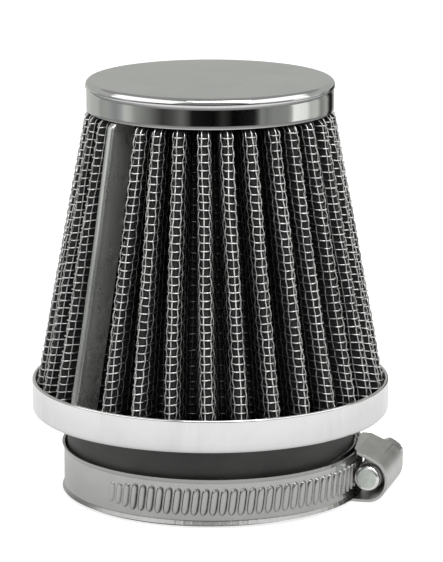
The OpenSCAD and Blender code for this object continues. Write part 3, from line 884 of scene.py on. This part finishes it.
def worm():
    pitch = 2.22
    n = 96
    th = np.arange(n) / n * 2 * math.pi
    ys, kind = [], []
    ys += [(-4.8, 0.0, "flat"), (-4.8, 1.2, "flat"), (-4.8, 2.2, "flat"), (-4.79, 2.28, "flat"), (-4.76, 2.36, "flat"), (-4.52, 2.82, "flat"), (-4.40, 2.95, "flat"), (-4.2, 3.0, "flat"), (-3.85, 3.0, "flat"), (-3.74, 2.9, "flat"), (-3.70, 2.6, "flat")]
    for y in np.arange(-3.6, 10.9, 0.12):
        ys.append((y, 2.5, "thread"))
    ys += [(10.95, 2.4, "flat"), (11.0, 2.25, "flat"), (12.0, 2.25, "flat"), (12.58, 2.25, "flat"), (12.6, 3.4, "flat"), (12.6, 4.4, "flat"), (12.68, 4.55, "flat"), (12.8, 4.6, "flat"),
           (14.3, 4.6, "flat"), (14.6, 4.5, "flat"), (14.76, 4.3, "flat"), (14.8, 4.1, "flat")]
    for y in (14.81, 15.2, 16.2, 17.4, 18.4, 19.0, 19.35, 19.6, 19.78):
        ys.append((y, 3.5, "hex"))
    ys += [(19.8, 3.2, "flat"), (19.82, 2.2, "flat"), (19.82, 0.0, "flat")]
    V = np.zeros((len(ys), n, 3))
    for i, (y, r, kd) in enumerate(ys):
        if kd == "flat":
            rad = np.full(n, r)
        elif kd == "thread":
            ph = np.mod((y + 3.33) / pitch + th / (2 * math.pi), 1.0)
            tri = 1 - np.abs(ph - 0.5) * 2
            h = np.clip((tri - 0.32) / 0.36, 0, 1)
            h = h * h * (3 - 2 * h)
            ramp_in = np.clip((y + 3.6) / 1.2, 0, 1) * np.clip((10.6 - y) / 1.2, 0, 1)
            rad = 2.5 + 0.80 * h * ramp_in
        else:
            f = np.mod(th + math.radians(35), math.pi / 3) - math.pi / 6
            rad = 3.5 / np.cos(f)
            lim = 4.05 - 0.0 * y
            if y > 19.0:
                lim = 4.05 - (y - 19.0) * 0.85
            if y < 15.2:
                lim = 4.0
            rad = np.minimum(rad, lim)
        V[i, :, 0] = WORM_R + rad * np.cos(th)
        V[i, :, 1] = y
        V[i, :, 2] = WORM_Z + rad * np.sin(th)
    W = to_world(V).reshape(-1, 3)
    Q = grid_faces(len(ys), n, wrap_v=True)
    # poles
    first, last = 0, len(ys) - 1
    idx = np.arange(len(W)).reshape(len(ys), n)
    idx[first] = idx[first, 0]
    idx[last] = idx[last, 0]
    Q = idx.ravel()[Q]
    good = (Q[:, 0] != Q[:, 3]) & (Q[:, 1] != Q[:, 2]) & (Q[:, 0] != Q[:, 1]) & (Q[:, 2] != Q[:, 3])
    quads = Q[good]
    T = []
    for q in Q[~good]:
        s = []
        for x in q:
            if x not in s:
                s.append(int(x))
        if len(s) == 3:
            T.append(s)
    used = np.unique(np.concatenate([quads.ravel(), np.array(T).ravel()]))
    remap = -np.ones(len(W), int)
    remap[used] = np.arange(len(used))
    o = make_mesh("worm_screw_turned", W[used], remap[quads], remap[np.array(T)], M["screw_steel"])
    # screwdriver slot across the head
    bm_v = []
    for x, y, z in [(-5, 18.6, -0.6), (5, 18.6, -0.6), (5, 18.6, 0.6), (-5, 18.6, 0.6), (-5, 21, -0.6), (5, 21, -0.6), (5, 21, 0.6), (-5, 21, 0.6)]:
        c, s = math.cos(math.radians(25)), math.sin(math.radians(25))
        bm_v.append((WORM_R + x * c - z * s, y, WORM_Z + x * s + z * c))
    cutter = make_mesh("slot_cutter", to_world(np.array(bm_v)), [[0, 1, 2, 3], [7, 6, 5, 4], [0, 4, 5, 1], [1, 5, 6, 2], [2, 6, 7, 3], [3, 7, 4, 0]], smooth=False)
    return o, cutter


def fix_normals(o):
    bpy.context.view_layer.objects.active = o
    o.select_set(True)
    bpy.ops.object.mode_set(mode="EDIT")
    bpy.ops.mesh.select_all(action="SELECT")
    bpy.ops.mesh.normals_make_consistent(inside=False)
    bpy.ops.object.mode_set(mode="OBJECT")
    o.select_set(False)


def apply_all(o):
    """Bakes o's modifiers into its mesh."""
    dg = bpy.context.evaluated_depsgraph_get()
    me = bpy.data.meshes.new_from_object(o.evaluated_get(dg))
    o.modifiers.clear()
    o.data = me


screw, cutter = worm()
fix_normals(screw)
fix_normals(cutter)
md = screw.modifiers.new("slot", "BOOLEAN")
md.operation = "DIFFERENCE"
md.object = cutter
md.solver = "EXACT"
apply_all(screw)
bpy.data.objects.remove(cutter)
screw.data.polygons.foreach_set("use_smooth", np.ones(len(screw.data.polygons), bool))
screw.data.set_sharp_from_angle(angle=math.radians(32))
screw.data.materials.append(M["screw_end"])
screw.data.materials.append(M["screw_edge"])
ax_y = np.append(e_tan(CLAMP_AZ), 0.0)
ax_c = to_world(np.array([WORM_R, 0.0, WORM_Z]))
for pl in screw.data.polygons:
    d = np.array(pl.center) / MM - ax_c
    along = float(d @ ax_y)
    out = np.linalg.norm(d - along * ax_y)
    # the end face inside 2.25 mm gets the end-face steel; the chamfer round it gets the near-white painted highlight
    if along < -4.3:
        pl.material_index = 1 if out < 2.25 else 2
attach(screw, "screw"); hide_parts("worm_screw")

# the folded housing keeps its CAD shape, with its sheared edges eased
h = nodes["clamp_housing"]
h.data.materials.clear()
h.data.materials.append(M["housing_steel"])
w = h.modifiers.new("weld", "WELD")
w.merge_threshold = 0.00001
bv = h.modifiers.new("ease", "BEVEL")
bv.width = 0.00012
bv.segments = 2
bv.limit_method = "ANGLE"
bv.angle_limit = math.radians(40)

# ------------------------------------------------------------------ floor, light, camera
fm, nt, b = principled("floor_paper")
b.inputs["Base Color"].default_value = (0.35, 0.35, 0.35, 1)
b.inputs["Emission Color"].default_value = (1, 1, 1, 1)
b.inputs["Emission Strength"].default_value = 0.80
b.inputs["Roughness"].default_value = 0.9
b.inputs["Specular IOR Level"].default_value = 0.1
me = bpy.data.meshes.new("floor")
me.from_pydata([(-3, -3, -0.00003), (3, -3, -0.00003), (3, 3, -0.00003), (-3, 3, -0.00003)], [], [(0, 1, 2, 3)])
floor = bpy.data.objects.new("floor", me)
scene.collection.objects.link(floor)
me.materials.append(fm)
floor.visible_glossy = False

# what the metal reflects of the floor: dim close to the object as a painted contact shadow, bright a hand's width in
# front of it
gm = bpy.data.materials.new("floor_glow")
gm.use_nodes = True
nt = gm.node_tree
nt.nodes.remove(nt.nodes["Principled BSDF"])
em = nt.nodes.new("ShaderNodeEmission")
tc = node(nt, "ShaderNodeTexCoord")
ln = node(nt, "ShaderNodeVectorMath", operation="LENGTH")
nt.links.new(tc.outputs["Object"], ln.inputs[0])
far = maprange(nt, ln.outputs["Value"], 0, 0.4, 0, 1)
nt.links.new(ramp(nt, far, [(0.10, grey(0.62)), (0.15, grey(0.78)), (0.22, grey(0.84)), (0.29, grey(0.90)), (0.33, grey(1.0)), (0.42, grey(1.0)), (0.50, grey(0.4)), (0.80, grey(0.2))]), em.inputs["Color"])
em.inputs["Strength"].default_value = 1.0
nt.links.new(em.outputs[0], nt.nodes["Material Output"].inputs["Surface"])
me = bpy.data.meshes.new("floor_glow")
me.from_pydata([(-0.5, -0.5, -0.00002), (0.5, -0.5, -0.00002), (0.5, 0.5, -0.00002), (-0.5, 0.5, -0.00002)], [], [(0, 1, 2, 3)])
glow = bpy.data.objects.new("floor_glow", me)
scene.collection.objects.link(glow)
me.materials.append(gm)
glow.visible_camera = False
glow.visible_shadow = False
glow.visible_diffuse = False
glow.visible_transmission = False


def card(name, keys, z0, z1, radius, step=1.5):
    """A curved card of the studio round the object, seen only in its reflections. keys are (azimuth, brightness, tint)."""
    K = np.array([(k[0], k[1], *k[2]) for k in keys], float)
    a = np.arange(K[0, 0], K[-1, 0] + step / 2, step)
    tone = np.stack([np.interp(a, K[:, 0], K[:, 1] * K[:, c]) for c in (2, 3, 4)], 1)
    V = np.zeros((len(a), 2, 3))
    V[..., :2] = (e_out(a) * radius)[:, None]
    V[:, 0, 2], V[:, 1, 2] = z0, z1
    i = np.arange(len(a) - 1) * 2
    cm = bpy.data.materials.new(name)
    cm.use_nodes = True
    t = cm.node_tree
    t.nodes.remove(t.nodes["Principled BSDF"])
    em = t.nodes.new("ShaderNodeEmission")
    at = node(t, "ShaderNodeAttribute", attribute_name="tone")
    t.links.new(at.outputs["Color"], em.inputs["Color"])
    em.inputs["Strength"].default_value = 1.0
    t.links.new(em.outputs[0], t.nodes["Material Output"].inputs["Surface"])
    o = make_mesh(name, V.reshape(-1, 3), np.stack([i, i + 2, i + 3, i + 1], -1), mat=cm, smooth=False)
    ca = o.data.attributes.new("tone", "FLOAT_COLOR", "POINT")
    rgba = np.ones((len(a), 2, 4))
    rgba[..., :3] = tone[:, None]
    ca.data.foreach_set("color", rgba.astype(np.float32).ravel())
    o.visible_camera = False
    o.visible_shadow = False
    o.visible_diffuse = False
    o.visible_transmission = False
    return o


WARM, COOL = (0.98, 1.0, 0.95), (0.97, 0.99, 1.0)
WALL = [(-180, 0.58, WARM), (-148, 0.57, WARM), (-138, 0.50, WARM), (-124, 0.48, WARM), (-118, 0.34, WARM), (-108, 0.38, WARM), (-100, 0.33, COOL),
        (-94, 0.27, COOL), (-87, 0.38, COOL), (-82, 0.58, WARM), (-76, 0.50, WARM), (-70, 0.32, WARM), (-58, 0.22, WARM), (-50, 0.12, WARM),
        (-43, 0.045, WARM), (-34, 0.08, WARM), (-25, 0.16, WARM), (-20, 0.09, WARM), (-16, 0.012, WARM), (3, 0.004, WARM), (7, 0.012, WARM),
        (11, 0.035, WARM), (16, 0.02, WARM), (20, 0.002, WARM), (40, 0.01, WARM), (43.5, 0.10, WARM), (46, 0.27, WARM), (51, 0.20, WARM),
        (58, 0.26, WARM), (74, 0.28, WARM), (78, 0.45, WARM), (81, 1.05, WARM), (98, 0.92, WARM), (103, 0.55, WARM), (114, 0.58, WARM),
        (121, 0.24, WARM), (134, 0.42, WARM), (138, 0.20, WARM), (142, 0.015, WARM), (152, 0.02, WARM), (157, 0.3, WARM), (180, 0.58, WARM)]
card("studio_wall", WALL, 1, 90, 330)
BACK = (0.985, 1.0, 0.96)
card("studio_back", [(100, 0.45, BACK), (260, 0.45, BACK)], 92, 420, 600, 4)


def area(name, loc, target, size, power, size_y=None, glossy=True):
    l = bpy.data.lights.new(name, "AREA")
    l.energy = power
    l.shape = "RECTANGLE"
    l.size = size
    l.size_y = size_y or size
    o = bpy.data.objects.new(name, l)
    scene.collection.objects.link(o)
    o.visible_glossy = glossy
    o.location = loc
    o.rotation_euler = (Vector(target) - Vector(loc)).to_track_quat("-Z", "Y").to_euler()
    return o


area("overhead", (0.0, 0.05, 0.95), (0, 0, 0), 0.9, 7.5, glossy=False)
area("front_key", (0.12, -0.52, 0.86), (0, 0, 0.04), 0.72, 6.2, size_y=0.42)
area("left_fill", (-1.0, -0.42, 0.62), (0, 0, 0.05), 1.8, 8.4, size_y=1.4)
area("right_fill", (1.0, -0.38, 0.62), (0, 0, 0.05), 1.8, 8.4, size_y=1.4)

w = bpy.data.worlds.new("studio")
scene.world = w
w.use_nodes = True
w.node_tree.nodes["Background"].inputs["Color"].default_value = (0.80, 0.81, 0.80, 1)
w.node_tree.nodes["Background"].inputs["Strength"].default_value = 0.38

cam = bpy.data.cameras.new("camera")
cam.sensor_width = 36
cam.lens = 218.5
cam.clip_start = 0.05
cam.clip_end = 20
co = bpy.data.objects.new("camera", cam)
co.location = (0.00267, -0.79144, 0.22998)
co.rotation_euler = (math.radians(90 - 12.777), 0, 0)
scene.collection.objects.link(co)
scene.camera = co
scene.view_settings.view_transform = "Standard"
scene.view_settings.look = "None"
